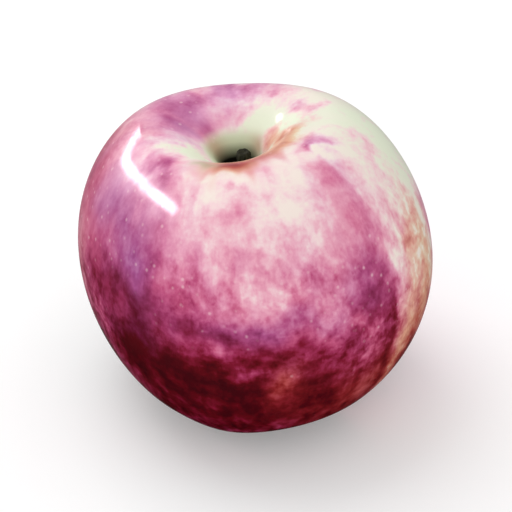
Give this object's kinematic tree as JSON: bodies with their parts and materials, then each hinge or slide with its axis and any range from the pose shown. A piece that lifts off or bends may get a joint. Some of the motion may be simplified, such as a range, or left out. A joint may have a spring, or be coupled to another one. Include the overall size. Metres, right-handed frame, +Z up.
{
  "type": "apple",
  "caption": "Fresh apple, conic and slightly lopsided, resting on its calyx end, with a short stem in the stem cavity and a dried calyx in the basin underneath.",
  "frame": {"origin": "middle of the apple's footprint, on the surface it rests on", "axes": "+Z up towards the stem end, +X towards the fuller side, -Y towards the side the picture shows"},
  "size_m": [0.0802, 0.0804, 0.0689],
  "materials": {
    "skin": "gloss",
    "stem": "matte",
    "calyx": "matte"
  },
  "bodies": {
    "root": {"fruit": "skin", "stem": "stem", "calyx": "calyx"}
  },
  "joints": []
}
